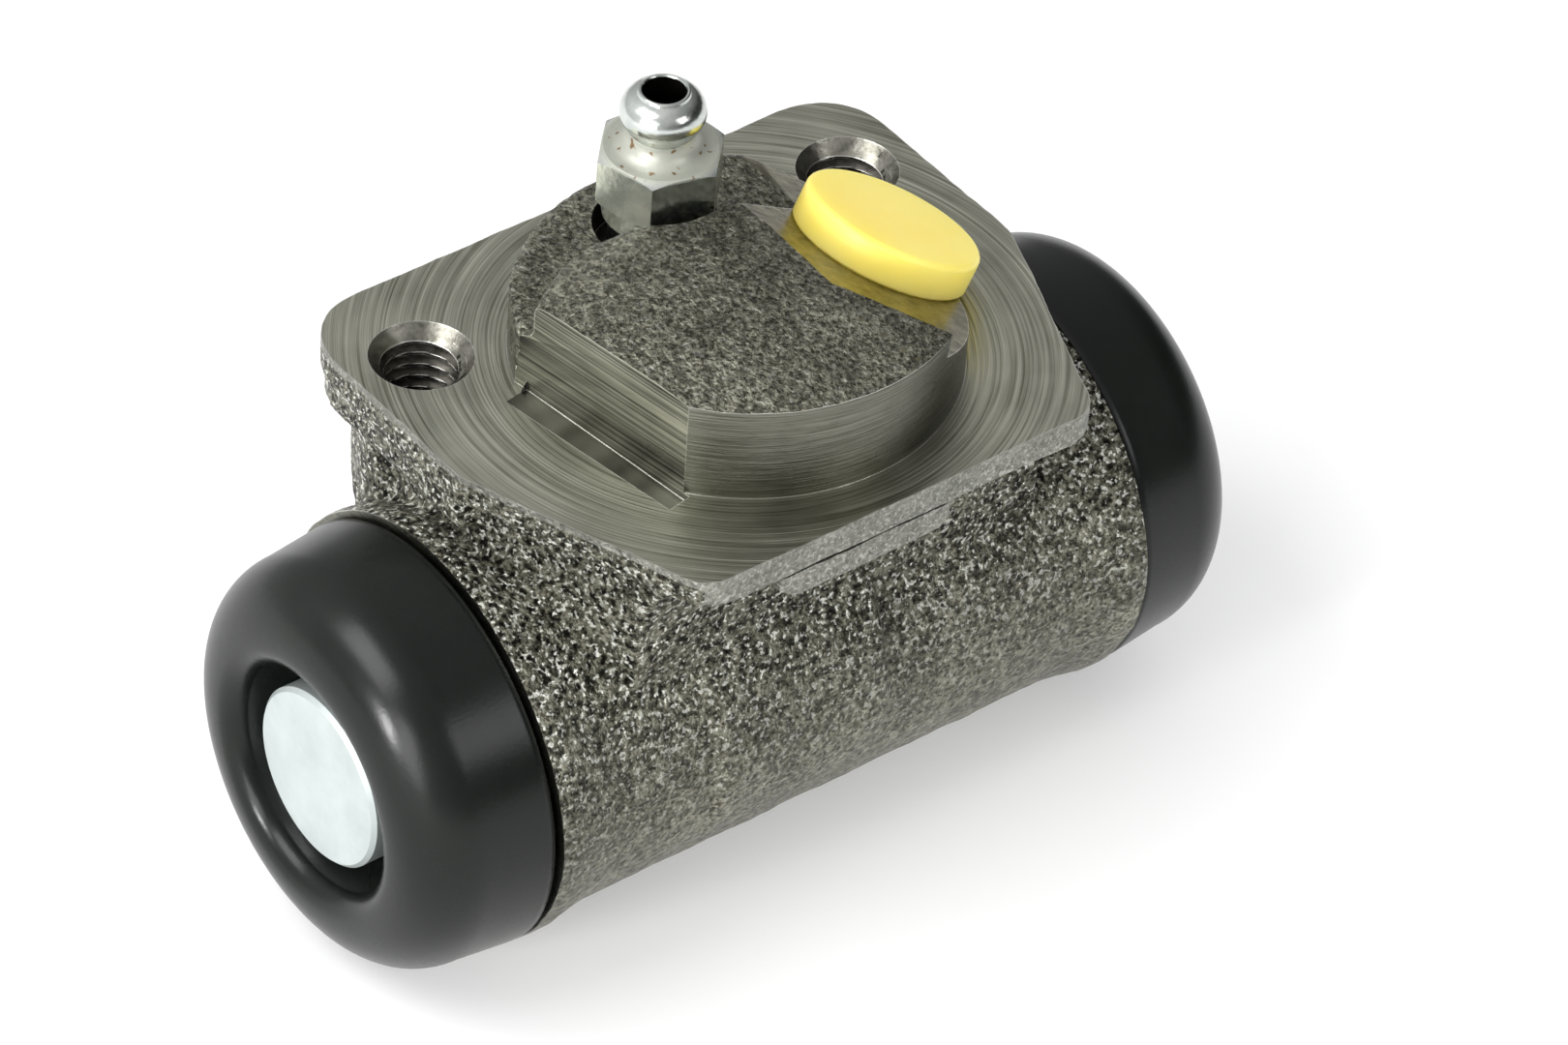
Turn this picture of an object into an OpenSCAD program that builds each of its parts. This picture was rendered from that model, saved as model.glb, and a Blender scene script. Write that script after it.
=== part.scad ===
// Wheel cylinder of a drum brake: cast body with a flange, two sprung pistons under rubber boots,
// a bleed screw and a push-in transit plug in the inlet port.
// X runs along the bore, Z points out of the flange face, the origin is on the spigot axis at that face.

/* [Flange] */
// Distance between the two fixing holes
hole_span = 36; // [30:0.5:44]
// Fixing holes behind the spigot axis
hole_y = 11.1; // [10.5:0.1:13]
// Core diameter of the fixing thread
fix_core_d = 5; // [4:0.1:6.6]
// Depth of the fixing holes
fix_depth = 9; // [7:0.5:10]
// Metal from a hole centre to the side of the flange
side_edge = 5.2; // [4.8:0.1:8]
// Metal from a hole centre to the back of the flange
back_edge = 7.7; // [6:0.1:9]
// Spigot axis to the front edge of the flange
front_reach = 18.4; // [18:0.1:22]
// Half width of the flange at its front edge
front_half = 16.2; // [15.5:0.1:17]
// Thickness of the flange at its edge
flange_t = 2.4; // [2:0.1:3.4]
// Overhang of the front edge over the neck
undercut = 3; // [2:0.1:3.6]
// Inset of the neck under the flange edge
neck_inset = 1.6; // [1:0.1:2]
// Inset of the waist below the ears
neck_waist = 2.4; // [1.8:0.1:2.6]
// Thickness of the two ears round the holes
ear_t = 5; // [4:0.1:6]
// Reach of the cast lug under the front edge, left of the spigot axis
lug_left = 9.4; // [8:0.1:11]
// Reach of the cast lug to the right
lug_right = 4; // [3:0.1:6]

/* [Spigot] */
// Diameter of the turned spigot
spigot_d = 30.8; // [29:0.1:32]
// Height of the spigot edge
spigot_h = 7.4; // [6.5:0.1:9]
// Rise of the cast crown above the spigot edge
crown_h = 1.2; // [0.6:0.1:1.8]
// Height of the bleed pad
pad_h = 4.6; // [3.6:0.1:5.4]
// Spigot axis to the milled flat
flat_reach = 13.3; // [12.8:0.1:14]
// Angle of the milled flat
flat_angle = 9.5; // [0:0.5:14]
// Width of the cutter mark at the foot of the flat
foot_w = 1.9; // [1:0.1:2.4]
// Depth of the cutter mark at the foot of the flat
foot_depth = 0.6; // [0.3:0.1:0.9]

/* [Barrel] */
// Bore diameter
bore_d = 20.64; // [19:0.02:21.6]
// Bore axis below the flange face
bore_drop = 21.83; // [21:0.1:24]
// Metal round the bore
barrel_wall = 4.55; // [4:0.05:5.5]
// Length between the end shoulders
body_len = 49.8; // [48:0.2:54]
// Extra radius of the end collars
collar_rise = 0.9; // [0.4:0.1:1.4]
// Rise of the cast band on the front of the barrel
band_rise = 0.6; // [0.3:0.1:0.9]
// Reach of the cast band to the left
band_left = 11.2; // [9:0.1:13]
// Reach of the cast band to the right
band_right = 2.6; // [1.5:0.1:4]
// Straight length of the end collars
collar_len = 1.2; // [0.8:0.1:2]
// Length over which a collar runs out into the barrel
collar_taper = 4; // [2:0.1:6]
// Length of the boot seat beyond each shoulder
seat_len = 3.2; // [3:0.1:4]
// Wall of the boot seat
seat_wall = 2.1; // [1.8:0.1:2.3]
// Rise of the bead that holds the boot
bead = 0.5; // [0.3:0.05:0.6]

/* [Pistons] */
// Radial running clearance of pistons and seals
run_gap = 0.04; // [0.02:0.01:0.08]
// Length of the piston skirt
skirt_len = 12.4; // [10:0.1:13]
// Diameter of the piston nose
nose_d = 13.1; // [11:0.1:14]
// Distance from the body shoulder to the end of the nose
nose_reach = 8.87; // [8:0.01:12]
// Piston skirt end inside the shoulder
skirt_in = 0.9; // [0.4:0.1:2]

/* [Seals and spring] */
// Length of the cup seal
cup_len = 4.6; // [4:0.1:5]
// Thickness of the cup base and lip
cup_wall = 1.7; // [1.4:0.1:2]
// Thickness of the cup expander
expander_t = 0.8; // [0.6:0.1:1]
// Mean diameter of the return spring
spring_d = 11; // [9:0.1:12]
// Wire of the return spring
wire_d = 1.1; // [0.8:0.1:1.3]
// Turns of the return spring
spring_turns = 5; // [4:1:7]

/* [Boots] */
// Largest radius of the boot at its rim, inside the collar
boot_step = 0.4; // [0.3:0.1:0.8]
// Radius of the rolled shoulder
shoulder_r = 5; // [4:0.1:5.4]
// Crest of the boot beyond the piston nose
crest_over = 1.22; // [0.6:0.02:1.6]
// Clearance between rubber and metal
boot_gap = 0.3; // [0.3:0.05:0.5]
// Wall of the boot
boot_wall = 1.9; // [1.6:0.1:2.2]

/* [Inlet port and plug] */
// Height of the plug rim above the flange face
plug_lift = 0.1; // [0.1:0.1:0.6]
// Tilt of the port
port_tilt = 28; // [24:1:32]
// Spot face edge from the spigot axis
spot_x = 3.8; // [3:0.1:5]
// Core diameter of the port thread
port_core_d = 9; // [8:0.1:10]
// Depth of the port thread
port_depth = 9; // [8:0.5:11]
// Diameter of the plug head
plug_d = 12.9; // [11.5:0.1:13.6]
// Thickness of the plug head
plug_t = 2.7; // [2:0.1:3.5]
// Clearance of the plug stem in the port
plug_gap = 0.3; // [0.3:0.05:0.6]
// Length of the plug stem
plug_stem = 6; // [4:0.5:7]

/* [Bleed screw] */
// Bleed screw behind the spigot axis
bleed_y = 9.3; // [9:0.1:10]
// Hexagon across flats
hex_af = 8; // [7:0.5:8.5]
// Turn of the hexagon
hex_turn = 18; // [0:1:59]
// Height of the hexagon
hex_h = 3.9; // [3.4:0.1:4.4]
// Height of the nipple above the hexagon
nipple_h = 4.7; // [4.5:0.1:6]
// Height of the plain collar under the hexagon
collar_h = 1.6; // [1:0.1:2]
// Height of the top of the bleed screw
bleed_top = 16; // [15:0.1:18]
// Shank diameter
shank_d = 6.6; // [6:0.1:7]
// Radial clearance of the shank in its thread
shank_gap = 0.05; // [0.03:0.01:0.08]
// Diameter of the clearance recess in the pad
recess_d = 8.8; // [8.4:0.1:9.4]
// Depth of the clearance recess
recess_depth = 2.4; // [1.5:0.1:3]
// Room round the hexagon corners
hex_room = 0.4; // [0.3:0.05:0.8]
// Barb diameter
barb_d = 5.9; // [5:0.1:6.4]
// Drilling through the screw
bleed_hole_d = 2; // [1.6:0.1:2.4]

/* [Hidden] */
$fn = 96;
e = 0.01;
fix_x = hole_span / 2;
side = fix_x + side_edge;
back = hole_y + back_edge;
spigot_r = spigot_d / 2;
bore_r = bore_d / 2;
collar_run = collar_len + collar_taper;
barrel_r = bore_r + barrel_wall;
collar_r = barrel_r + collar_rise;
shoulder_x = body_len / 2;
seat_x = shoulder_x + seat_len;
seat_r = bore_r + seat_wall;
nose_x = shoulder_x + nose_reach;
nose_r = nose_d / 2;
skirt_x1 = shoulder_x - skirt_in;
skirt_x0 = skirt_x1 - skirt_len;
slide_r = bore_r - run_gap;
cup_x = skirt_x0 - cup_len;
base_x = skirt_x0 - cup_wall;
seat_face = base_x - expander_t;
boot_r = collar_r - boot_step;
crest_x = nose_x + crest_over;
boot_x0 = shoulder_x + boot_gap;
port_core_r = port_core_d / 2;
port_run = (spigot_h - plug_lift) / sin(port_tilt) - plug_d / 2;
port_top = [spot_x + (port_run * cos(port_tilt)), 0, spigot_h - port_run * sin(port_tilt)];
bleed_r = shank_d / 2 + shank_gap;
hex_z1 = bleed_top - nipple_h;
hex_z0 = hex_z1 - hex_h;
bleed_seat_z = -8;

// Arc points of a rounded corner between two straight edges
function corner(a, b, c, r) =
    let (u = (a - b) / norm(a - b), v = (c - b) / norm(c - b))
    let (half = acos(u * v) / 2, m = (u + v) / norm(u + v))
    let (o = b + m * r / sin(half))
    let (p = b + u * r / tan(half) - o, q = b + v * r / tan(half) - o)
    let (a0 = atan2(p.y, p.x), turn = atan2(p.x * q.y - p.y * q.x, p * q))
    [for (i = [0:8]) o + r * [cos(a0 + turn * i / 8), sin(a0 + turn * i / 8)]];

// Closed outline with a radius at every corner, each point as [x, y, radius]
function rounded(p) =
    let (n = len(p), xy = [for (q = p) [q.x, q.y]])
    [for (i = [0:n - 1]) each corner(xy[(i + n - 1) % n], xy[i], xy[(i + 1) % n], p[i].z)];

// Shield outline of the flange, moved in by d
module shield(d) {
    w = side - d;
    polygon(rounded([[-w, back - d, 5], [-w, -0.6, 2], [d * 0.6 - front_half, d - front_reach, 2.6],
        [front_half - d * 0.6, d - front_reach, 2.6], [w, -0.6, 2], [w, back - d, 5]]));
}

// Turned solid about the bore axis from a profile of [radius, x]
module on_bore(profile) {
    translate([0, 0, -bore_drop])
        rotate([0, 90, 0])
            rotate_extrude()
                polygon(profile);
}

// Straight round bar about the bore axis between two stations
module bar(r, x0, x1) {
    translate([x0, 0, -bore_drop])
        rotate([0, 90, 0])
            cylinder(r = r, h = x1 - x0);
}

// Everything on the tilted port axis, its zero on the spot face
module on_port() {
    translate(port_top)
        rotate([0, port_tilt, 0])
            children();
}

// Cast boss with the turned spigot, bleed pad, spot face and milled flat
module boss() {
    crown_r = (spigot_r * spigot_r + crown_h * crown_h) / (2 * crown_h);
    difference() {
        intersection() {
            translate([0, 0, -flange_t])
                cylinder(r = spigot_r, h = spigot_h + crown_h + flange_t);
            translate([0, 0, spigot_h + crown_h - crown_r])
                sphere(r = crown_r, $fn = 200);
        }
        translate([0, 0, pad_h])
            linear_extrude(10)
                polygon([[-18, 1.8], [-11, 5.8], [-8, 6.6], [-5, 6.4], [-1.4, 5.2], [18, 4.7],
                    [18, 18], [-18, 18]]);
        translate([spot_x, -20, spigot_h])
            rotate([0, port_tilt, 0])
                cube([30, 40, 20]);
        rotate([0, 0, flat_angle])
            translate([-flat_reach - 10, -20, 0])
                cube([10, 40, 20]);
    }
}

// Cast neck between flange and barrel: plan, front view and side view cut together
module neck() {
    reach = body_len + hole_span;
    foot = side - neck_waist;
    foot_z = bore_drop * 0.85;
    foot_y = barrel_r * 0.9;
    front = undercut - front_reach;
    flank = [[-side, 0], [-side, -ear_t], [neck_waist / 2 - side, -ear_t * 1.5],
        [-foot, -ear_t * 2.1], [-foot, -bore_drop]];
    count = len(flank);
    intersection() {
        translate([0, 0, -bore_drop])
            linear_extrude(bore_drop - flange_t / 2)
                shield(neck_inset);
        translate([0, reach / 2, 0])
            rotate([90, 0, 0])
                linear_extrude(reach)
                    polygon(concat(flank, [for (i = [1:count]) [-flank[count - i].x, flank[count - i].y]]));
        translate([-reach / 2, 0, 0])
            rotate([90, 0, 90])
                linear_extrude(reach)
                    polygon([[front, 0], [front, -flange_t * 1.2], [front + undercut * 0.7, -flange_t * 2],
                        [front + undercut, -flange_t * 3.4], [front + undercut, -foot_z],
                        [-foot_y / 2, -bore_drop], [foot_y / 2, -bore_drop], [foot_y, -foot_z],
                        [back - neck_waist * 1.2, -ear_t * 1.8], [back - neck_waist / 3, -ear_t], [back, 0]]);
    }
}

// Cast body with its bore, boot seats, ports and fixing holes
module cylinder_body() {
    color([0.36, 0.35, 0.34])
    difference() {
        union() {
            translate([0, 0, -flange_t])
                linear_extrude(flange_t)
                    shield(0);
            intersection() {
                translate([0, 0, -ear_t])
                    linear_extrude(ear_t - flange_t / 2)
                        shield(0.25);
                translate([-side - 1, -0.4, -ear_t - 1])
                    cube([2 * side + 2, back + 2, ear_t + 1]);
            }
            neck();
            boss();
            on_bore([[0, -shoulder_x], [collar_r, -shoulder_x], [collar_r, collar_len - shoulder_x],
                [barrel_r, collar_run - shoulder_x], [barrel_r, shoulder_x - collar_run],
                [collar_r, shoulder_x - collar_len], [collar_r, shoulder_x], [0, shoulder_x]]);
            boot_seat();
            mirror([1, 0, 0])
                boot_seat();
            lug();
        }
        bar(bore_r, -seat_x - 1, seat_x + 1);
        for (s = [-1, 1])
            translate([s * fix_x, hole_y, 0])
                fixing_hole();
        rotate([0, 0, flat_angle])
            translate([-flat_reach - foot_w, -8.3, -foot_depth])
                cube([foot_w + 0.1, 15, foot_depth + 1]);
        on_port()
            port_cut();
        translate([0, bleed_y, 0])
            bleed_cut();
    }
}

// Turned seat with a bead that holds the boot
module boot_seat() {
    on_bore([[0, shoulder_x - 1], [seat_r, shoulder_x - 1], [seat_r, seat_x - bead * 2.8],
        [seat_r + bead, seat_x - bead * 2], [seat_r + bead, seat_x - bead], [seat_r, seat_x], [0, seat_x]]);
}

// Cast lug under the front edge and the raised band on the barrel below it
module lug() {
    translate([-lug_left, 0.7 - front_reach, -flange_t - 2.1])
        cube([lug_left + lug_right, 6, 3]);
    intersection() {
        bar(barrel_r + band_rise, -band_left, band_right);
        translate([-20, -30, -bore_drop - 9])
            cube([40, 22, 20]);
    }
}

// Fixing hole with its countersink and drill point
module fixing_hole() {
    r = fix_core_d / 2;
    translate([0, 0, -fix_depth])
        cylinder(r = r, h = fix_depth + 1);
    translate([0, 0, -fix_depth - r * 0.6])
        cylinder(r1 = 0, r2 = r, h = r * 0.6 + e);
    translate([0, 0, -1.05])
        cylinder(r1 = r, r2 = r + 1.35, h = 1.35);
}

// Inlet port: threaded bore, cone and the drilling into the bore
module port_cut() {
    translate([0, 0, -port_depth])
        cylinder(r = port_core_r, h = port_depth + 1);
    translate([0, 0, -port_depth - 2])
        cylinder(r1 = 1.6, r2 = port_core_r, h = 2 + e);
    translate([0, 0, -20])
        cylinder(r = 1.6, h = 20);
}

// Bleed port: clearance recess, threaded bore, cone seat and the drilling into the bore
module bleed_cut() {
    translate([0, 0, pad_h - recess_depth])
        cylinder(d = recess_d, h = recess_depth + e);
    translate([0, 0, pad_h])
        cylinder(r = hex_af / sqrt(3) + hex_room, h = 10);
    translate([0, 0, bleed_seat_z])
        cylinder(r = bleed_r, h = 20);
    translate([0, 0, bleed_seat_z - 2])
        cylinder(r1 = 1.1, r2 = bleed_r, h = 2 + e);
    translate([0, 0, -16])
        cylinder(r = 1.1, h = 12);
}

// Turned piston with a plain skirt and a nose for the brake shoe
module piston() {
    on_bore([[0, skirt_x0], [slide_r - 0.5, skirt_x0], [slide_r, skirt_x0 + 0.5], [slide_r, skirt_x1 - 0.5],
        [slide_r - 0.5, skirt_x1], [nose_r, skirt_x1], [nose_r, nose_x - 0.3], [nose_r - 0.3, nose_x],
        [0, nose_x]]);
}

module right_piston() {
    color([0.78, 0.79, 0.8])
        piston();
}

module left_piston() {
    color([0.78, 0.79, 0.8])
        mirror([1, 0, 0])
            piston();
}

// Rubber cup, its lip towards the middle of the bore
module piston_cup() {
    on_bore([[0, base_x], [slide_r - cup_wall - 0.5, base_x], [slide_r - cup_wall + 0.4, cup_x],
        [slide_r - 0.1, cup_x], [slide_r, cup_x + 0.8], [slide_r - 0.3, skirt_x0], [0, skirt_x0]]);
}

module right_piston_cup() {
    color([0.07, 0.07, 0.07])
        piston_cup();
}

module left_piston_cup() {
    color([0.07, 0.07, 0.07])
        mirror([1, 0, 0])
            piston_cup();
}

// Pressed cap that spreads the cup and centres the spring
module cup_expander() {
    lip = slide_r - cup_wall * 1.5;
    skirt = lip - expander_t / 2;
    on_bore([[0, base_x], [skirt, base_x], [lip, base_x - expander_t * 2],
        [lip - expander_t, base_x - expander_t * 2], [skirt - expander_t, seat_face], [0, seat_face]]);
}

module right_cup_expander() {
    color([0.7, 0.66, 0.5])
        cup_expander();
}

module left_cup_expander() {
    color([0.7, 0.66, 0.5])
        mirror([1, 0, 0])
            cup_expander();
}

// Coil spring between the two expanders, its ends ground flat
module return_spring() {
    half = seat_face;
    span = 2 * half + wire_d;
    spread = 180 * wire_d * spring_turns / span;
    ring = [for (i = [0:11]) [spring_d / 2 + wire_d / 2 * cos(i * 30), spread * sin(i * 30)]];
    color([0.5, 0.5, 0.52])
    intersection() {
        translate([-half - wire_d / 2, 0, -bore_drop])
            rotate([0, 90, 0])
                linear_extrude(span, twist = -360 * spring_turns, slices = spring_turns * 24, $fn = 12)
                    polygon([for (p = ring) p.x * [cos(p.y), sin(p.y)]]);
        bar(20, -half, half);
    }
}

// Moulded boot: rim on the seat, straight side, rolled shoulder and a lip round the nose
module dust_boot() {
    roll = [crest_x - shoulder_r, boot_r - 0.45 - shoulder_r];
    inner = shoulder_r - boot_wall;
    fold = 1.5;
    fold_c = [roll.y - fold, crest_x - fold];
    lip_r = nose_r + boot_gap;
    rim_r = seat_r + boot_gap;
    on_bore(concat(
        [[rim_r, boot_x0], [boot_r, boot_x0]],
        [for (i = [0:12]) [roll.y + shoulder_r * cos(i * 7.5), roll.x + shoulder_r * sin(i * 7.5)]],
        [for (i = [1:8]) [fold_c.x - fold * sin(i * 11.25) + fold, fold_c.y + fold * cos(i * 11.25)]],
        [[lip_r, crest_x - 3.4], [lip_r, crest_x - 5.2], [lip_r + 1.4, crest_x - 5.2],
            [lip_r + 1.6, crest_x - 3.6]],
        [for (i = [0:8]) [roll.y + inner * sin(i * 11.25), roll.x + inner * cos(i * 11.25)]],
        [[boot_r - boot_wall, boot_x0 + 3.6], [rim_r + bead, boot_x0 + 3.4], [rim_r + bead, boot_x0 + 1.6],
            [rim_r, boot_x0 + 1.2]]));
}

module right_dust_boot() {
    color([0.05, 0.05, 0.05])
        dust_boot();
}

module left_dust_boot() {
    color([0.05, 0.05, 0.05])
        mirror([1, 0, 0])
            dust_boot();
}

// Bleed screw: barbed nipple, hexagon, shank with a cone point and the drillings
module bleed_screw() {
    shank_r = shank_d / 2;
    collar = shank_r + 0.5;
    barb_r = barb_d / 2;
    flat_r = hex_af / 2;
    color([0.75, 0.74, 0.68])
    translate([0, bleed_y, 0])
    difference() {
        union() {
            rotate_extrude()
                polygon([[0, bleed_seat_z - 0.9], [1.5, bleed_seat_z - 0.9], [shank_r, bleed_seat_z + 0.9],
                    [shank_r, hex_z0 - collar_h], [collar, hex_z0 - collar_h], [collar, hex_z0 + e],
                    [2.3, hex_z1 - e], [2.3, bleed_top - 3.4], [barb_r - 0.3, bleed_top - 2.2],
                    [barb_r, bleed_top - 1.9], [barb_r, bleed_top - 1.6],
                    [1.95, bleed_top - 0.15], [1.8, bleed_top], [0, bleed_top]]);
            intersection() {
                translate([0, 0, hex_z0])
                    rotate([0, 0, hex_turn])
                        cylinder(d = hex_af / cos(30), h = hex_z1 - hex_z0, $fn = 6);
                rotate_extrude()
                    polygon([[0, hex_z0], [flat_r + 0.1, hex_z0], [flat_r + 0.8, hex_z0 + 0.4],
                        [flat_r + 0.8, hex_z1 - 0.45], [flat_r - 0.1, hex_z1], [0, hex_z1]]);
            }
        }
        translate([0, 0, bleed_seat_z + 2])
            cylinder(d = bleed_hole_d, h = 40);
        translate([0, 0, bleed_top - 0.6])
            cylinder(d1 = bleed_hole_d, d2 = bleed_hole_d + 1.2, h = 0.65);
        translate([0, 0, bleed_seat_z + 2.4])
            rotate([90, 0, 0])
                cylinder(d = 1.4, h = 10, center = true);
    }
}

// Push-in plug that keeps dirt out of the port in transit
module inlet_plug() {
    r = plug_d / 2;
    stem = port_core_r - plug_gap;
    color([0.93, 0.75, 0.22])
    on_port()
        rotate_extrude()
            polygon([[0, -plug_stem], [stem - 0.8, -plug_stem], [stem, 0.8 - plug_stem], [stem, 0],
                [r, 0], [r, plug_t - 0.5], [r - 0.5, plug_t], [0, plug_t]]);
}

cylinder_body();
left_piston();
right_piston();
left_piston_cup();
right_piston_cup();
left_cup_expander();
right_cup_expander();
return_spring();
left_dust_boot();
right_dust_boot();
bleed_screw();
inlet_plug();
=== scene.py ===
"""Looks of a drum brake wheel cylinder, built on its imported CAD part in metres.

The casting is made the way the real one is: a rough blank first, then the machined cuts.
"""

import logging
import math
from collections.abc import Sequence
from dataclasses import dataclass
from enum import Enum

import bmesh
import bpy
import numpy as np
from mathutils import Matrix, Vector, noise


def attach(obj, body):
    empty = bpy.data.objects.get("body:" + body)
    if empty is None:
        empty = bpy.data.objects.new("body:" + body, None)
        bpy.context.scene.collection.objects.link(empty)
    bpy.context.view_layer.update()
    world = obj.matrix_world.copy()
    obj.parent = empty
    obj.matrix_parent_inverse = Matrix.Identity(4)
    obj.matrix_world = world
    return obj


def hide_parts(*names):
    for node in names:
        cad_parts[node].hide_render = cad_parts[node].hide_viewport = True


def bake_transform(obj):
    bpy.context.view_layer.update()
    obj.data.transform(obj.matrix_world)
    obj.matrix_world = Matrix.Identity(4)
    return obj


MM = 0.001
log = logging.getLogger("wheel_cylinder")

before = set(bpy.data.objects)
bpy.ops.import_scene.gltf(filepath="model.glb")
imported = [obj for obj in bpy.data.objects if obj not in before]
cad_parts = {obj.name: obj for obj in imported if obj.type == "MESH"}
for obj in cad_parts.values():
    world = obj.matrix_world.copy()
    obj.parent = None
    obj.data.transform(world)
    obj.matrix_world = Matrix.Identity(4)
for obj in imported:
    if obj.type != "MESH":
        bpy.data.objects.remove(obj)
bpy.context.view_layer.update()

Profile = list[tuple[float, float]]
Plan = tuple[tuple[float, float], ...]
Colour = tuple[float, float, float]
Solid = bmesh.types.BMesh
Socket = bpy.types.NodeSocket

WHITE: Colour = (1.0, 1.0, 1.0)
BOTH_ENDS = (-1, 1)


class Side(Enum):
    """Which end of the bore a piece belongs to; the value is the sign of its X."""

    LEFT = -1
    RIGHT = 1

    @property
    def label(self) -> str:
        """Name of the side as used in node names."""
        return self.name.lower()


class Finish(Enum):
    """Surface finishes of the casting, in the order of its material slots."""

    CAST = 0
    FACED = 1
    TURNED = 2
    MILLED = 3
    SPOT = 4
    EDGE = 5
    RIM = 6
    # Near-black painted shade inside the fixing holes, the bleed recess and the bleed screw's drilling.
    THREAD = 7


def mesh_object(name: str, bm: Solid) -> bpy.types.Object:
    """Links a finished bmesh to the scene.

    Args:
        name: object name.
        bm: geometry in millimetres.

    Returns:
        The new object, its vertices in metres.
    """
    bmesh.ops.scale(bm, vec=(MM, MM, MM), verts=bm.verts)
    mesh = bpy.data.meshes.new(name)
    bm.to_mesh(mesh)
    bm.free()
    obj = bpy.data.objects.new(name, mesh)
    bpy.context.scene.collection.objects.link(obj)
    return obj


def lathe(profile: Profile, steps: int = 128, place: Matrix | None = None) -> Solid:
    """Turns a profile about the Z axis.

    Args:
        profile: (radius, height) pairs in millimetres; both ends on the axis make it closed.
        steps: segments round the axis.
        place: where to move the solid.

    Returns:
        A bmesh with outward normals.
    """
    bm = bmesh.new()
    rings = []
    for radius, height in profile:
        if radius < 1e-6:
            rings.append([bm.verts.new((0.0, 0.0, height))])
        else:
            turns = [2 * math.pi * k / steps for k in range(steps)]
            spots = [(radius * math.cos(a), radius * math.sin(a), height) for a in turns]
            rings.append([bm.verts.new(spot) for spot in spots])
    for low, high in zip(rings, rings[1:]):
        for k in range(steps):
            n = (k + 1) % steps
            corners = [low[k % len(low)], low[n % len(low)], high[n % len(high)], high[k % len(high)]]
            unique = list(dict.fromkeys(corners))
            if len(unique) > 2:
                bm.faces.new(unique)
    if len(rings[0]) > 1 and profile[0] == profile[-1]:
        bmesh.ops.remove_doubles(bm, verts=bm.verts, dist=1e-6)
    bmesh.ops.recalc_face_normals(bm, faces=bm.faces)
    if place is not None:
        bm.transform(place)
    return bm


def rod(radius: float, low: float, high: float, steps: int = 64, place: Matrix | None = None) -> Solid:
    """Makes a plain round bar about the Z axis.

    Args:
        radius: bar radius in millimetres.
        low: height of its lower end.
        high: height of its upper end.
        steps: segments round the axis.
        place: where to move the bar.

    Returns:
        A closed bmesh.
    """
    return lathe([(0.0, low), (radius, low), (radius, high), (0.0, high)], steps, place)


def prism(outline: Sequence[tuple[float, float]], low: float, high: float) -> Solid:
    """Extrudes a plan outline between two heights.

    Args:
        outline: plan points in millimetres, counter-clockwise.
        low: lower height.
        high: upper height.

    Returns:
        A closed bmesh.
    """
    bm = bmesh.new()
    bottom = [bm.verts.new((x, y, low)) for x, y in outline]
    top = [bm.verts.new((x, y, high)) for x, y in outline]
    count = len(outline)
    for k in range(count):
        n = (k + 1) % count
        bm.faces.new((bottom[k], bottom[n], top[n], top[k]))
    bm.faces.new(bottom[::-1])
    bm.faces.new(top)
    bmesh.ops.recalc_face_normals(bm, faces=bm.faces)
    return bm


def block(low: Sequence[float], high: Sequence[float], place: Matrix | None = None) -> Solid:
    """Makes a box from two corners, then moves it.

    Args:
        low: lowest corner in millimetres.
        high: highest corner.
        place: where to move the box.

    Returns:
        A closed bmesh.
    """
    bm = prism([(low[0], low[1]), (high[0], low[1]), (high[0], high[1]), (low[0], high[1])], low[2], high[2])
    if place is not None:
        bm.transform(place)
    return bm


def arc(cx: float, cy: float, radius: float, start: float, end: float, count: int = 12) -> Profile:
    """Points of a circular arc.

    Args:
        cx: first coordinate of the centre.
        cy: second coordinate of the centre.
        radius: arc radius.
        start: first angle in degrees.
        end: last angle in degrees.
        count: number of steps.

    Returns:
        The points, both ends included.
    """
    turn = [math.radians(start + (end - start) * k / count) for k in range(count + 1)]
    return [(cx + radius * math.cos(a), cy + radius * math.sin(a)) for a in turn]


def along_x(x: float = 0.0, drop: float = 0.0, sign: int = 1) -> Matrix:
    """Placement that lays a turned solid along the bore.

    Args:
        x: shift along the bore in millimetres.
        drop: depth of the bore axis below the flange face.
        sign: -1 points the solid to the left.

    Returns:
        The placement matrix.
    """
    return Matrix.Translation((x, 0.0, -drop)) @ Matrix.Rotation(math.radians(90.0 * sign), 4, "Y")


def carve(obj: bpy.types.Object, cutter: Solid, operation: str = "DIFFERENCE") -> None:
    """Cuts a solid with another one and removes the cutter.

    Args:
        obj: the solid that stays.
        cutter: the cutter in millimetres.
        operation: boolean operation name.
    """
    tool = mesh_object("cutter", cutter)
    mod = obj.modifiers.new("carve", "BOOLEAN")
    mod.operation = operation
    mod.solver = "MANIFOLD"
    mod.object = tool
    bake(obj)
    mesh = tool.data
    bpy.data.objects.remove(tool)
    bpy.data.meshes.remove(mesh)
    log.debug("carved %s: %d faces", obj.name, len(obj.data.polygons))


def bake(obj: bpy.types.Object) -> None:
    """Replaces an object's mesh by its modified form.

    Args:
        obj: object with modifiers.
    """
    graph = bpy.context.evaluated_depsgraph_get()
    graph.update()
    fresh = bpy.data.meshes.new_from_object(obj.evaluated_get(graph))
    old = obj.data
    obj.modifiers.clear()
    obj.data = fresh
    bpy.data.meshes.remove(old)


def soften(obj: bpy.types.Object, angle: float = 32.0) -> None:
    """Shades a mesh smooth with sharp edges above an angle.

    Args:
        obj: mesh object.
        angle: limit in degrees.
    """
    mesh = obj.data
    mesh.polygons.foreach_set("use_smooth", [True] * len(mesh.polygons))
    mesh.set_sharp_from_angle(angle=math.radians(angle))


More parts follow.
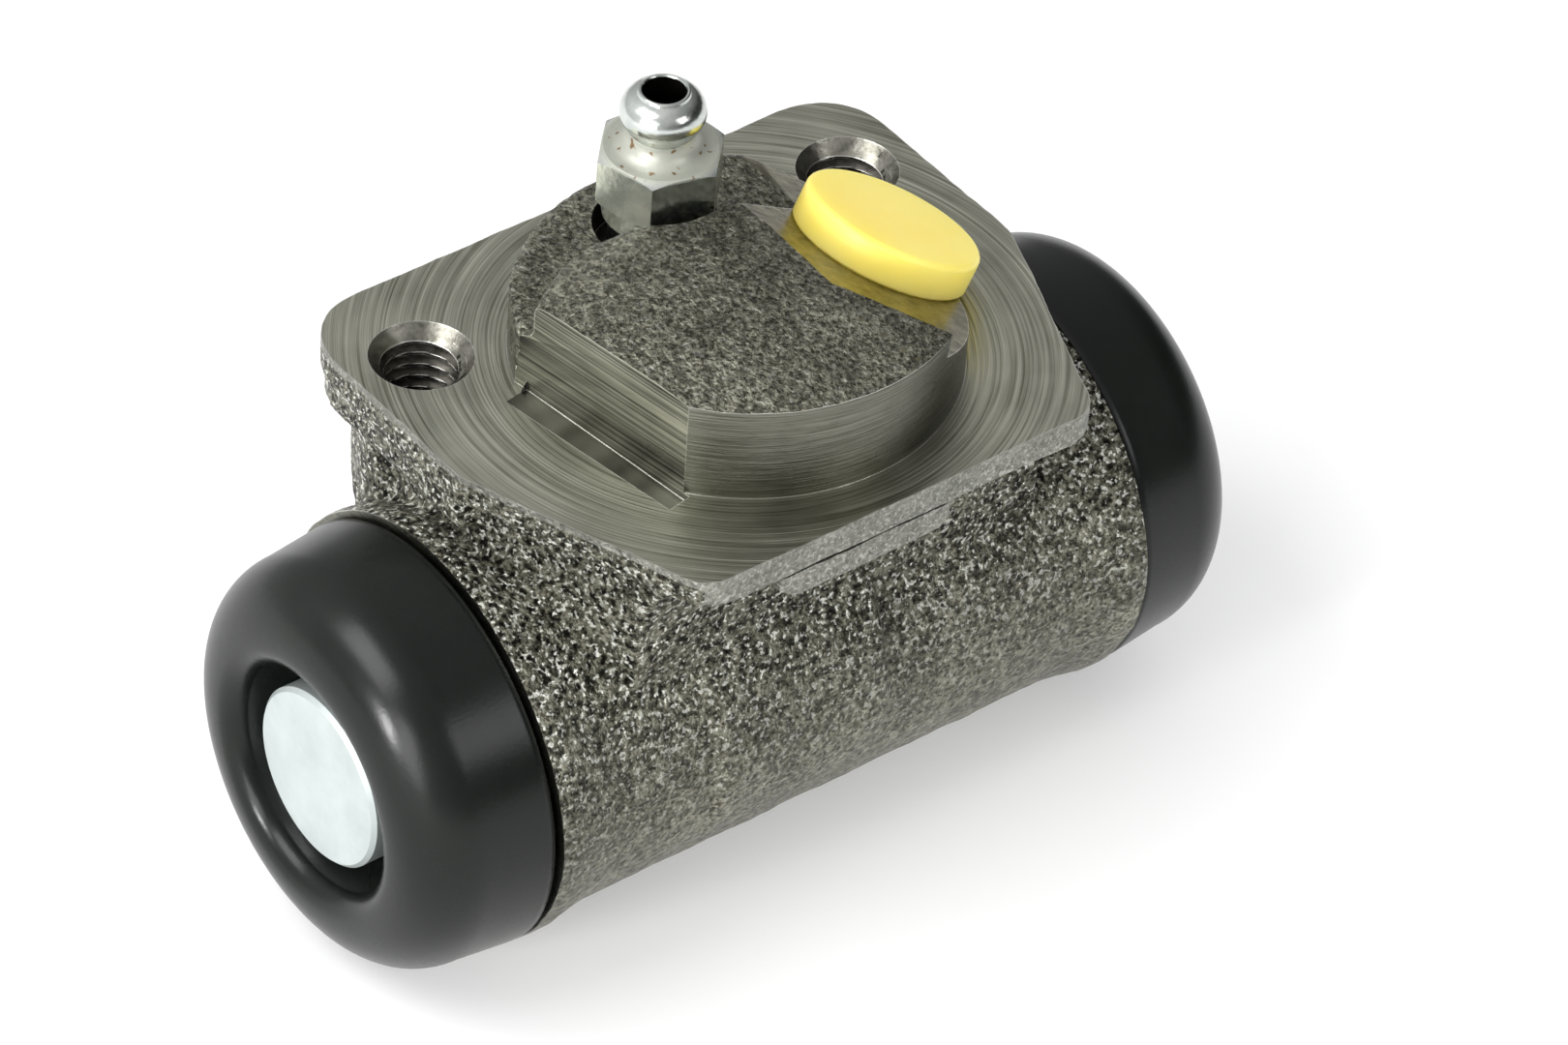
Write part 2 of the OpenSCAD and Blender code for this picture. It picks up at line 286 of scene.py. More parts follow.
class Nodes:
    """Short hand for building one procedural material."""

    def __init__(self, name: str) -> None:
        """Starts an empty material with a Principled shader.

        Args:
            name: material name.
        """
        self.material = bpy.data.materials.new(name)
        self.material.use_nodes = True
        self.tree = self.material.node_tree
        self.shader = self.tree.nodes["Principled BSDF"]
        self.place = self.add("ShaderNodeTexCoord").outputs["Object"]

    def add(self, kind: str, **values: object) -> bpy.types.ShaderNode:
        """Adds a node and sets its properties.

        Args:
            kind: node type name.
            **values: node properties.

        Returns:
            The new node.
        """
        made = self.tree.nodes.new(kind)
        for key, value in values.items():
            setattr(made, key, value)
        return made

    def wire(self, source: object, target: Socket) -> None:
        """Links a socket or sets a constant.

        Args:
            source: output socket or plain value.
            target: input socket.
        """
        if isinstance(source, Socket):
            self.tree.links.new(source, target)
        else:
            target.default_value = source

    def math(self, operation: str, a: object, b: object = 0.0, clamp: bool = False) -> Socket:
        """Adds a math node.

        Args:
            operation: math operation name.
            a: first input.
            b: second input.
            clamp: keep the result between 0 and 1.

        Returns:
            The result socket.
        """
        made = self.add("ShaderNodeMath", operation=operation, use_clamp=clamp)
        self.wire(a, made.inputs[0])
        self.wire(b, made.inputs[1])
        return made.outputs[0]

    def noise(
        self, scale: float, detail: float = 3.0, rough: float = 0.55, vector: Socket | None = None
    ) -> Socket:
        """Adds a noise texture.

        Args:
            scale: cells per metre.
            detail: octaves.
            rough: octave roughness.
            vector: lookup coordinates, the object's own when left out.

        Returns:
            The noise factor.
        """
        made = self.add("ShaderNodeTexNoise")
        self.wire(vector or self.place, made.inputs["Vector"])
        made.inputs["Scale"].default_value = scale
        made.inputs["Detail"].default_value = detail
        made.inputs["Roughness"].default_value = rough
        return made.outputs["Fac"]

    def cells(self, scale: float) -> Socket:
        """Adds a cell texture.

        Args:
            scale: cells per metre.

        Returns:
            The distance to the nearest cell centre.
        """
        made = self.add("ShaderNodeTexVoronoi")
        self.wire(self.place, made.inputs["Vector"])
        made.inputs["Scale"].default_value = scale
        return made.outputs["Distance"]

    def ramp(self, factor: Socket, stops: Sequence[tuple[float, Colour]]) -> Socket:
        """Adds a colour ramp.

        Args:
            factor: lookup factor.
            stops: position and colour pairs.

        Returns:
            The colour socket.
        """
        made = self.add("ShaderNodeValToRGB")
        self.wire(factor, made.inputs["Fac"])
        band = made.color_ramp.elements
        while len(band) < len(stops):
            band.new(0.5)
        for element, (position, colour) in zip(band, stops):
            element.position = position
            element.color = (*colour, 1.0)
        return made.outputs["Color"]

    def blend(self, factor: object, a: object, b: object, mode: str = "MIX") -> Socket:
        """Mixes two colours.

        Args:
            factor: mixing factor.
            a: first colour.
            b: second colour.
            mode: blending mode.

        Returns:
            The colour socket.
        """
        made = self.add("ShaderNodeMix", data_type="RGBA", blend_type=mode)
        self.wire(factor, made.inputs["Factor"])
        self.wire(a, made.inputs[6])
        self.wire(b, made.inputs[7])
        return made.outputs[2]

    def line(self, value: Socket, slope: float, level: float) -> Socket:
        """Scales a value and shifts it.

        Args:
            value: input.
            slope: factor.
            level: shift.

        Returns:
            The result socket.
        """
        return self.math("ADD", self.math("MULTIPLY", value, slope), level)

    def above(self, value: object, limit: object, gain: float) -> Socket:
        """Rises from 0 to 1 once a value passes a limit.

        Args:
            value: input.
            limit: where the rise starts.
            gain: steepness of the rise.

        Returns:
            The factor.
        """
        return self.math("MULTIPLY", self.math("SUBTRACT", value, limit), gain, True)

    def streaks(
        self, across: Socket, lines: float, along: Socket, breaks: float, detail: float, rough: float
    ) -> Socket:
        """Adds noise that is drawn out into tool marks.

        Args:
            across: coordinate across the marks.
            lines: marks per unit of it.
            along: coordinate along the marks.
            breaks: changes per unit of that one.
            detail: octaves.
            rough: octave roughness.

        Returns:
            The noise factor.
        """
        place = self.vector(self.math("MULTIPLY", across, lines), self.math("MULTIPLY", along, breaks), 0.0)
        return self.noise(1.0, detail, rough, place)

    def bump(self, height: Socket, depth: float, strength: object = 1.0) -> Socket:
        """Adds a bump node.

        Args:
            height: height factor.
            depth: height of a full step in metres.
            strength: strength of the effect, a number or a socket.

        Returns:
            The normal socket.
        """
        made = self.add("ShaderNodeBump")
        made.inputs["Distance"].default_value = depth
        self.wire(strength, made.inputs["Strength"])
        self.wire(height, made.inputs["Height"])
        return made.outputs["Normal"]

    def edge(self, radius: float) -> Socket:
        """Finds the sharp edges of the mesh.

        Args:
            radius: width of the edge zone in metres.

        Returns:
            A factor near 1 on an edge and 0 on a face.
        """
        bevel = self.add("ShaderNodeBevel", samples=6)
        bevel.inputs["Radius"].default_value = radius
        dot = self.add("ShaderNodeVectorMath", operation="DOT_PRODUCT")
        self.wire(bevel.outputs["Normal"], dot.inputs[0])
        self.wire(self.add("ShaderNodeNewGeometry").outputs["Normal"], dot.inputs[1])
        return self.above(0.985, dot.outputs["Value"], 9.0)

    def axes(self) -> bpy.types.ShaderNodeSeparateXYZ:
        """Splits the object coordinates.

        Returns:
            The separating node.
        """
        made = self.add("ShaderNodeSeparateXYZ")
        self.wire(self.place, made.inputs[0])
        return made

    def vector(self, x: object, y: object, z: object) -> Socket:
        """Joins three values.

        Args:
            x: first value.
            y: second value.
            z: third value.

        Returns:
            The vector socket.
        """
        made = self.add("ShaderNodeCombineXYZ")
        for value, socket in zip((x, y, z), made.inputs):
            self.wire(value, socket)
        return made.outputs[0]

    def set(self, **inputs: object) -> None:
        """Sets inputs of the Principled shader by name, with _ for a blank.

        Args:
            **inputs: socket names and their values or sources.
        """
        for key, value in inputs.items():
            self.wire(value, self.shader.inputs[key.replace("_", " ")])


@dataclass(frozen=True)
class CastIron:
    """Blasted cast skin with painted glints on its grains and painted shade in its pits."""

    name: str = "cast_iron_rough"
    low: Colour = (0.205, 0.201, 0.155)
    high: Colour = (0.315, 0.309, 0.245)
    # Colour of the painted glints, bright specks in the base colour.
    glint: Colour = (0.92, 0.93, 0.86)
    grain: float = 2500.0
    relief: float = 1.0

    def build(self) -> bpy.types.Material:
        """Makes the material.

        Returns:
            The material.
        """
        n = Nodes(self.name)
        # Coarse band by height: the bump, the painted pit shade and the painted glints are strongest just
        # below the flange and weaker on the lower barrel and the crown.
        level = n.above(n.axes().outputs["Z"], -0.040, 20.0)
        stops = ((0.10, 0.18), (0.36, 0.45), (0.58, 1.0), (0.76, 1.0), (0.84, 0.36), (1.0, 0.30))
        coarse = n.ramp(level, [(at, (grey, grey, grey)) for at, grey in stops])
        fine = n.noise(self.grain, 4.0, 0.6)
        pits = n.cells(self.grain * 0.55)
        broad = n.noise(170.0, 3.0)
        height = n.math("ADD", n.math("MULTIPLY", fine, 0.8), n.math("MULTIPLY", pits, 0.35))
        # Painted shade: the low points of the grain relief are darkened nearly to black and multiplied in.
        pit_shade = n.ramp(height, [(0.46, (0.02, 0.02, 0.018)), (0.57, (0.42, 0.42, 0.40)), (0.68, WHITE)])
        skin = n.ramp(broad, [(0.35, self.low), (0.65, self.high)])
        share = n.line(coarse, 0.60 * self.relief, 0.40 * self.relief)
        # Painted glints: bright specks mixed into the base colour, strongest where the coarse band is
        # strong.
        specks = n.above(n.noise(self.grain * 1.1, 2.0), 0.555, 14.0)
        painted_glint = n.math("MULTIPLY", specks, n.math("MULTIPLY", n.math("POWER", coarse, 1.5), 0.8 * self.relief))
        dots = n.ramp(n.noise(self.grain * 1.4, 2.0), [(0.38, (0.16, 0.14, 0.10)), (0.50, WHITE)])
        dotted = n.blend(0.8 * self.relief, skin, n.blend(1.0, skin, dots, "MULTIPLY"))
        pit_shaded = n.blend(share, dotted, n.blend(1.0, dotted, pit_shade, "MULTIPLY"))
        n.set(Base_Color=n.blend(painted_glint, pit_shaded, (*self.glint, 1.0)), Metallic=0.92)
        n.set(Roughness=n.math("SUBTRACT", n.line(broad, 0.2, 0.28), n.math("MULTIPLY", painted_glint, 0.12)))
        depth = n.math("MULTIPLY", n.line(coarse, 0.8, 0.2), self.relief)
        n.set(Normal=n.bump(height, 0.0010, depth))
        return n.material


@dataclass(frozen=True)
class Machined:
    """Cut metal with tool marks and a painted highlight on its sharp edges; the kind of mark depends on the
    finish.
    """

    finish: Finish
    dark: Colour = (0.17, 0.17, 0.128)
    light: Colour = (0.44, 0.44, 0.370)
    roughness: float = 0.32

    def build(self) -> bpy.types.Material:
        """Makes the material.

        Returns:
            The material.
        """
        n = Nodes("machined_" + self.finish.name.lower())
        xyz = n.axes()
        x, y, z = xyz.outputs
        if self.finish is Finish.FACED:
            radius = n.math("SQRT", n.math("ADD", n.math("MULTIPLY", x, x), n.math("MULTIPLY", y, y)))
            turn = n.math("ABSOLUTE", n.math("ARCTAN2", y, x))
            lines = n.streaks(radius, 4200.0, turn, 0.8, 3.0, 0.7)
        elif self.finish is Finish.TURNED:
            turn = n.math("ARCTAN2", y, x)
            lines = n.streaks(z, 7000.0, turn, 2.0, 3.0, 0.65)
        elif self.finish is Finish.MILLED:
            lines = n.streaks(z, 4000.0, y, 30.0, 2.0, 0.6)
        else:
            lines = n.noise(900.0, 3.0, 0.6)
        patch = n.noise(120.0, 3.0)
        tint = n.math("ADD", n.math("MULTIPLY", lines, 0.75), n.math("MULTIPLY", patch, 0.25))
        skin = n.ramp(tint, [(0.36, self.dark), (0.64, self.light)])
        # Painted highlight: sharp edges are blended towards a pale grey.
        n.set(Base_Color=n.blend(n.edge(0.00016), skin, (0.80, 0.79, 0.75, 1.0)), Metallic=1.0)
        n.set(Roughness=n.line(patch, 0.16, self.roughness - 0.08))
        n.set(Normal=n.bump(lines, 0.00008, 0.6))
        return n.material


@dataclass(frozen=True)
class Rubber:
    """Satin black moulded rubber."""

    colour: Colour = (0.0032, 0.0042, 0.0035)
    roughness: float = 0.27

    def build(self) -> bpy.types.Material:
        """Makes the material.

        Returns:
            The material.
        """
        n = Nodes("rubber_satin")
        bloom = n.noise(90.0, 4.0, 0.6)
        grain = n.noise(3800.0, 2.0)
        light = tuple(min(1.0, c * 1.9) for c in self.colour)
        n.set(Base_Color=n.ramp(bloom, [(0.35, self.colour), (0.75, light)]), Specular_IOR_Level=0.29)
        n.set(Roughness=n.line(bloom, 0.2, self.roughness - 0.1))
        n.set(Normal=n.bump(grain, 0.00002, 0.35))
        return n.material


@dataclass(frozen=True)
class Plated:
    """Zinc plated or bright turned metal with a tint that varies."""

    name: str
    low: Colour
    high: Colour
    roughness: float
    metallic: float = 1.0
    grain: float = 1500.0

    def build(self) -> bpy.types.Material:
        """Makes the material.

        Returns:
            The material.
        """
        n = Nodes(self.name)
        broad = n.noise(230.0, 4.0, 0.6)
        fine = n.noise(self.grain, 3.0)
        n.set(Base_Color=n.ramp(broad, [(0.32, self.low), (0.68, self.high)]), Metallic=self.metallic)
        n.set(Roughness=n.line(fine, 0.16, self.roughness - 0.08))
        n.set(Normal=n.bump(fine, 0.00003, 0.4))
        return n.material


@dataclass(frozen=True)
class ZincPlate:
    """Plating of the bleed screw: bluish on the cut faces, pale and specked on the flare."""

    blue: Colour = (0.50, 0.54, 0.53)
    bright: Colour = (0.72, 0.74, 0.70)
    cream: Colour = (0.40, 0.41, 0.355)
    rust: Colour = (0.17, 0.10, 0.045)
    flare_low: float = 0.0110
    flare_high: float = 0.0128

    def build(self) -> bpy.types.Material:
        """Makes the material.

        Returns:
            The material.
        """
        n = Nodes("zinc_plate")
        z = n.axes().outputs["Z"]
        above = n.above(z, self.flare_low, 4000.0)
        below = n.above(self.flare_high, z, 4000.0)
        flare = n.math("MULTIPLY", above, below)
        broad = n.noise(420.0, 4.0, 0.6)
        fine = n.noise(2400.0, 3.0)
        specks = n.above(n.noise(1500.0, 1.0), 0.66, 14.0)
        metal = n.ramp(broad, [(0.32, self.blue), (0.68, self.bright)])
        pale = n.blend(specks, (*self.cream, 1.0), (*self.rust, 1.0))
        n.set(Base_Color=n.blend(flare, metal, pale))
        n.set(Metallic=n.math("SUBTRACT", 1.0, n.math("MULTIPLY", flare, 0.55)))
        n.set(Roughness=n.math("ADD", n.math("MULTIPLY", flare, 0.22), n.line(fine, 0.14, 0.13)))
        n.set(Normal=n.bump(fine, 0.00004, 0.4))
        return n.material


@dataclass(frozen=True)
class Plastic:
    """Soft moulded plastic of the transit plug."""

    low: Colour = (0.93, 0.69, 0.11)
    high: Colour = (0.95, 0.74, 0.17)

    def build(self) -> bpy.types.Material:
        """Makes the material.

        Returns:
            The material.
        """
        n = Nodes("plastic_yellow")
        broad = n.noise(150.0, 3.0)
        fine = n.noise(2500.0, 2.0)
        n.set(Base_Color=n.ramp(broad, [(0.3, self.low), (0.7, self.high)]), Roughness=0.42)
        n.set(Subsurface_Weight=0.55, Subsurface_Radius=(0.006, 0.005, 0.0018), Subsurface_Scale=1.0)
        n.set(Normal=n.bump(fine, 0.00002, 0.3))
        return n.material


def dress(obj: bpy.types.Object, *materials: bpy.types.Material) -> bpy.types.Object:
    """Gives an object its materials.

    Args:
        obj: mesh object.
        *materials: its material slots in order.

    Returns:
        The object.
    """
    obj.data.materials.clear()
    for material in materials:
        obj.data.materials.append(material)
    return obj


@dataclass
class Casting:
    """Cast body: rough blank, then the machined cuts."""

    bore_r: float = 10.32
    bore_drop: float = 21.83
    barrel_r: float = 14.87
    flange_t: float = 2.4
    lug: tuple[float, float, float] = (-9.4, 5.0, -17.7)
    lug_low: float = -5.3
    lug_round: float = 1.8
    groove: float = 0.7
    foot_w: float = 1.9
    foot_ends: tuple[float, float] = (-8.3, 6.7)
    shoulder_x: float = 24.9
    seat_x: float = 28.1
    seat_r: float = 12.42
    collar_r: float = 15.77
    spigot_r: float = 15.4
    spigot_h: float = 7.4
    crown_h: float = 1.2
    pad_h: float = 4.6
    flat_reach: float = 13.3
    flat_angle: float = 9.5
    foot_depth: float = 0.6
    fix_x: float = 18.0
    hole_y: float = 11.1
    thread_core: float = 2.5
    thread_major: float = 3.05
    thread_pitch: float = 1.0
    fix_depth: float = 9.0
    bleed_y: float = 9.3
    bleed_r: float = 3.35
    recess_r: float = 4.4
    recess_depth: float = 2.4
    hex_room: float = 5.02
    port_tilt: float = 28.0
    spot_x: float = 3.8
    port_run: float = 9.0993
    port_r: float = 4.5
    sink_r: float = 3.6
    sink_depth: float = 1.2
    bead: float = 0.5
    clear_r: float = 30.0
    clear_z: float = 12.0
    spot_edge: Plan = (
        (-1.25, 15.6), (-1.25, -5.9), (0.3, -8.8), (2.8, -13.3), (4.1, -15.8), (13.6, -15.8), (13.6, 15.6)
    )
    voxel: float = 0.36
    smooth_passes: int = 3
    pad_line: Plan = (
        (-18.0, 1.8), (-11.0, 5.8), (-8.0, 6.6), (-5.0, 6.4), (-1.4, 5.2),
        (18.0, 4.7), (18.0, 20.0), (-18.0, 20.0),
    )
    shield: Plan = (
        (-23.2, 18.8), (-23.2, -0.6), (-16.2, -18.4), (16.2, -18.4), (23.2, -0.6), (23.2, 18.8)
    )
    radii: tuple[float, ...] = (5.0, 2.0, 2.6, 2.6, 2.0, 5.0)

    def outline(self, grow: float = 0.0) -> Profile:
        """Flange outline with rounded corners.

        Args:
            grow: extra reach on every side.

        Returns:
            Plan points.
        """
        points: Profile = []
        count = len(self.shield)
        for k, radius in enumerate(self.radii):
            before, here, after = (Vector(self.shield[(k + d) % count]) for d in (-1, 0, 1))
            u, v = (before - here).normalized(), (after - here).normalized()
            half = u.angle(v) / 2
            centre = here + (u + v).normalized() * radius / math.sin(half)
            first = here + u * radius / math.tan(half) - centre
            last = here + v * radius / math.tan(half) - centre
            start = math.degrees(math.atan2(first.y, first.x))
            turn = math.degrees(first.angle_signed(last))
            points += arc(centre.x, centre.y, radius + grow, start, start - turn, 8)
        return points

    def on_port(self) -> Matrix:
        """Placement of the tilted inlet port.

        Returns:
            A matrix whose Z axis leaves the port.
        """
        tilt = math.radians(self.port_tilt)
        run = self.port_run
        mouth = (self.spot_x + run * math.cos(tilt), 0.0, self.spigot_h - run * math.sin(tilt))
        return Matrix.Translation(mouth) @ Matrix.Rotation(tilt, 4, "Y")

    def blank(self) -> bpy.types.Object:
        """Makes the rough casting before any machining.

        Returns:
            The blank as one remeshed solid.
        """
        crown = (self.spigot_r ** 2 + self.crown_h ** 2) / (2 * self.crown_h)
        reach = self.spigot_r + 0.5
        top = self.spigot_h + self.crown_h
        dome = [(r, top - crown + math.sqrt(crown ** 2 - r ** 2)) for r in np.linspace(0.0, reach, 14)]
        boss = mesh_object("boss", lathe([(0.0, -3.0), (reach, -3.0)] + dome[::-1]))
        carve(boss, prism(self.pad_line, self.pad_h, self.clear_z))
        carve(boss, self.back_ring())
        along, port = along_x(0.0, self.bore_drop), self.on_port()
        bore = mesh_object("fill_bore", rod(11.6, -27.0, 27.0, 64, along))
        ring = mesh_object("fill_end", rod(self.collar_r + 0.05, -27.5, 27.5, 96, along))
        carve(ring, rod(self.clear_r, -23.4, 23.4, 64, along))
        plate = mesh_object("fill_face", prism(self.outline(), -2.0, 0.7))
        parts = [boss, bore, ring, plate]
        for s in BOTH_ENDS:
            at = Matrix.Translation((s * self.fix_x, self.hole_y, 0.0))
            parts.append(mesh_object("fill_hole", rod(4.2, -11.0, 0.5, 32, at)))
        at = Matrix.Translation((0.0, self.bleed_y, 0.0))
        parts.append(mesh_object("fill_port", rod(5.0, -14.0, -1.0, 32, port)))
        parts.append(mesh_object("fill_bleed", rod(5.0, -12.0, self.pad_h - 0.2, 32, at)))
        parts.append(mesh_object("fill_lug", self.lug_form()))
        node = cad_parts["cylinder_body"]
        joined = bmesh.new()
        joined.from_mesh(node.data)
        for part in parts:
            joined.from_mesh(part.data)
            bpy.data.objects.remove(part)
        mesh = bpy.data.meshes.new("casting")
        joined.to_mesh(mesh)
        joined.free()
        obj = bpy.data.objects.new("casting", mesh)
        bpy.context.scene.collection.objects.link(obj)
        remesh = obj.modifiers.new("remesh", "REMESH")
        remesh.mode = "VOXEL"
        remesh.voxel_size = self.voxel * MM
        smooth = obj.modifiers.new("smooth", "SMOOTH")
        smooth.factor = 0.5
        smooth.iterations = self.smooth_passes
        bake(obj)
        log.debug("remeshed: %d faces", len(obj.data.polygons))
        self.roughen(obj)
        return obj

    def lug_form(self) -> Solid:
        """Lug under the flange, with rounded lower corners.

        Returns:
            A closed bmesh.
        """
        left, right, front = self.lug
        r, low = self.lug_round, self.lug_low
        first = arc(left + r, low + r, r, 180.0, 270.0, 6)
        second = arc(right - r, low + r, r, 270.0, 360.0, 6)
        outline = [(left, -1.5), *first, *second, (right, -1.5)]
        bm = prism(outline, -front - 4.5, -front)
        bm.transform(Matrix.Rotation(math.radians(90.0), 4, "X"))
        return bm

    def back_ring(self) -> Solid:
        """Cutter that keeps the pad clear of the turning tool.

        Returns:
            Half ring behind the spigot.
        """
        inner, outer = self.spigot_r - 0.15, self.spigot_r + 4.0
        there = arc(0.0, 0.0, inner, 12.0, 176.0, 48)
        back = arc(0.0, 0.0, outer, 176.0, 12.0, 48)
        return prism(there + back, 0.02, self.clear_z)

    def roughen(self, obj: bpy.types.Object) -> None:
        """Fades the cast band out below and adds the unevenness of a sand mould.

        Args:
            obj: the blank.
        """
        mesh = obj.data
        count = len(mesh.vertices)
        flat, away = np.zeros(count * 3, np.float32), np.zeros(count * 3, np.float32)
        mesh.vertices.foreach_get("co", flat)
        mesh.vertices.foreach_get("normal", away)
        points = flat.reshape(-1, 3)
        drop = self.bore_drop * MM
        off = np.hypot(points[:, 1], points[:, 2] + drop)
        below = np.clip((-(points[:, 2] + drop) / off - 0.05) / 0.4, 0.0, 1.0)
        excess = np.clip(off - self.barrel_r * MM, 0.0, 1.2 * MM)
        share = np.where(np.abs(points[:, 0]) < 18.0 * MM, 0.9, 0.4)
        keep = 1.0 - excess * below * share / off
        points[:, 1] *= keep
        points[:, 2] = (points[:, 2] + drop) * keep - drop
        shift = [
            noise.noise(Vector(p) * 260.0) * 0.10 + noise.noise(Vector(p) * 1100.0) * 0.06 for p in points
        ]
        flat += away * np.repeat(np.array(shift, np.float32), 3) * MM
        mesh.vertices.foreach_set("co", flat)
        mesh.update()

    def threaded_rod(self) -> Solid:
        """Cutter with the form of the fixing thread.

        Returns:
            A closed rod with a helical ridge.
        """
        turn_steps, rows_per_pitch = 48, 12
        low, high = -self.fix_depth, 1.6
        rows = int((high - low) / self.thread_pitch * rows_per_pitch)
        bm = bmesh.new()
        grid = []
        for j in range(rows + 1):
            z = low + (high - low) * j / rows
            ring = []
            for k in range(turn_steps):
                phase = (z / self.thread_pitch - k / turn_steps) % 1.0
                wave = min(1.0, max(0.0, 1.35 * (1.0 - abs(2.0 * phase - 1.0)) - 0.12))
                radius = self.thread_core + (self.thread_major - self.thread_core) * wave
                angle = 2 * math.pi * k / turn_steps
                ring.append(bm.verts.new((radius * math.cos(angle), radius * math.sin(angle), z)))
            grid.append(ring)
        for lower, upper in zip(grid, grid[1:]):
            for k in range(turn_steps):
                n = (k + 1) % turn_steps
                bm.faces.new((lower[k], lower[n], upper[n], upper[k]))
        bm.faces.new(grid[0][::-1])
        bm.faces.new(grid[-1])
        bmesh.ops.recalc_face_normals(bm, faces=bm.faces)
        return bm

    def machine(self, obj: bpy.types.Object) -> None:
        """Makes the machined cuts in the blank.

        Args:
            obj: the blank, changed in place.
        """
        inner, outer, top = self.spigot_r, 60.0, self.clear_z
        carve(obj, lathe([(inner, 0.0), (outer, 0.0), (outer, top), (inner, top), (inner, 0.0)], 192))
        turn = Matrix.Rotation(math.radians(self.flat_angle), 4, "Z")
        near, far = self.foot_ends
        slope = math.asin(self.foot_depth / (far - near))
        sink = Matrix.Translation((0.0, far, 0.0)) @ Matrix.Rotation(slope, 4, "X")
        reach = self.flat_reach
        carve(obj, block((-reach - self.foot_w, near - far, 0.0), (-reach, 0.0, 0.7), turn @ sink))
        carve(obj, block((-reach - 10.0, -20.0, 0.0), (-reach, 20.0, 20.0), turn))
        spot = prism(self.spot_edge, 0.0, 20.0)
        lean = Matrix.Rotation(math.radians(self.port_tilt), 4, "Y")
        spot.transform(Matrix.Translation((self.spot_x, 0.0, self.spigot_h)) @ lean)
        carve(obj, spot)
        left, right, front = self.lug
        under = -self.flange_t
        carve(obj, block((left - 1.0, front - 1.0, under - self.groove), (right + 1.0, front + 1.1, under)))
        carve(obj, rod(self.port_r, -9.0, 3.0, 64, self.on_port()))
        self.drill(obj)

    def drill(self, obj: bpy.types.Object) -> None:
        """Makes the holes, the bore and the boot seats.

        Args:
            obj: the casting, changed in place.
        """
        for s in BOTH_ENDS:
            at = Matrix.Translation((s * self.fix_x, self.hole_y, 0.0))
            thread = self.threaded_rod()
            thread.transform(at)
            carve(obj, thread)
            low, core = -self.sink_depth, self.thread_core - 0.1
            sink = [(0.0, low), (core, low), (self.sink_r, 0.0), (self.sink_r, 2.0), (0.0, 2.0)]
            carve(obj, lathe(sink, 64, at))
        at = Matrix.Translation((0.0, self.bleed_y, 0.0))
        low, high, top = self.pad_h - self.recess_depth, self.pad_h, self.clear_z
        recess = [
            (0.0, low), (self.recess_r, low), (self.recess_r, high),
            (self.hex_room, high + 0.6), (self.hex_room, top), (0.0, top),
        ]
        carve(obj, lathe(recess, 64, at))
        carve(obj, rod(self.bleed_r, -9.0, top, 64, at))
        carve(obj, rod(self.bore_r, -30.0, 30.0, 128, along_x(0.0, self.bore_drop)))
        r, end, start, out = self.seat_r, self.seat_x, self.shoulder_x, self.clear_r
        seat = [
            (r, start), (out, start), (out, 40.0), (r - 2.0, 40.0), (r - 2.0, end), (r, end),
            (r + self.bead, end - 0.5), (r + self.bead, end - 1.0), (r, end - 1.4), (r, start),
        ]
        for s in BOTH_ENDS:
            carve(obj, lathe(seat, 128, along_x(0.0, self.bore_drop, s)))

    def finishes(self, obj: bpy.types.Object) -> None:
        """Sorts the faces by the cut that made them, with near-black painted shade inside the holes and the
        bleed recess.

        Args:
            obj: the machined casting.
        """
        mesh = obj.data
        count = len(mesh.polygons)
        centre, normal = np.zeros(count * 3), np.zeros(count * 3)
        mesh.polygons.foreach_get("center", centre)
        mesh.polygons.foreach_get("normal", normal)
        centre, normal = centre.reshape(-1, 3) / MM, normal.reshape(-1, 3)
        x, y, z = centre.T
        up = normal[:, 2]
        kind = np.full(count, Finish.CAST.value)
        radius = np.hypot(x, y)
        flat = math.radians(self.flat_angle)
        away = -(x * math.cos(flat) + y * math.sin(flat))
        upright = (np.abs(up) < 0.6) & (radius > self.spigot_r + 0.1)
        deep = np.where(normal[:, 1] < -0.8, self.flange_t + 0.1, 0.7)
        kind[upright & (z < -0.01) & (z > -deep)] = Finish.RIM.value
        left, right, front = self.lug
        on_lug = (x > left - 0.5) & (x < right + 0.5) & (y < front + 1.4)
        kind[on_lug & (z > self.lug_low - 0.3) & (z < -self.flange_t - self.groove)] = Finish.RIM.value
        kind[(np.abs(z) < 0.02) & (up > 0.98) & (radius > self.spigot_r - 0.2)] = Finish.FACED.value
        wall = np.abs(up) < 0.05
        kind[wall & (np.abs(radius - self.spigot_r) < 0.03) & (z > -0.05)] = Finish.TURNED.value
        foot = away - self.flat_reach
        kind[wall & (np.abs(foot) < 0.02) & (z > -1.0)] = Finish.MILLED.value
        mark = (foot > -0.02) & (foot < self.foot_w + 0.02) & (radius < self.spigot_r + 2.0)
        kind[mark & (z > -1.0) & (z < -0.002)] = Finish.MILLED.value
        tilt = math.radians(self.port_tilt)
        lift = (x - self.spot_x) * math.sin(tilt) + (z - self.spigot_h) * math.cos(tilt)
        kind[(np.abs(lift) < 0.02) & (x > self.spot_x - 1.4) & (z > 0.05)] = Finish.SPOT.value
        for s in BOTH_ENDS:
            near = np.hypot(x - s * self.fix_x, y - self.hole_y)
            # Painted shade: the threaded holes get the near-black slot.
            kind[(near < 3.75) & (z < -0.01) & (z > -self.fix_depth - 0.1)] = Finish.THREAD.value
            kind[(near < 3.75) & (near > self.thread_core) & (z < -0.01) & (z > -0.95)] = Finish.EDGE.value
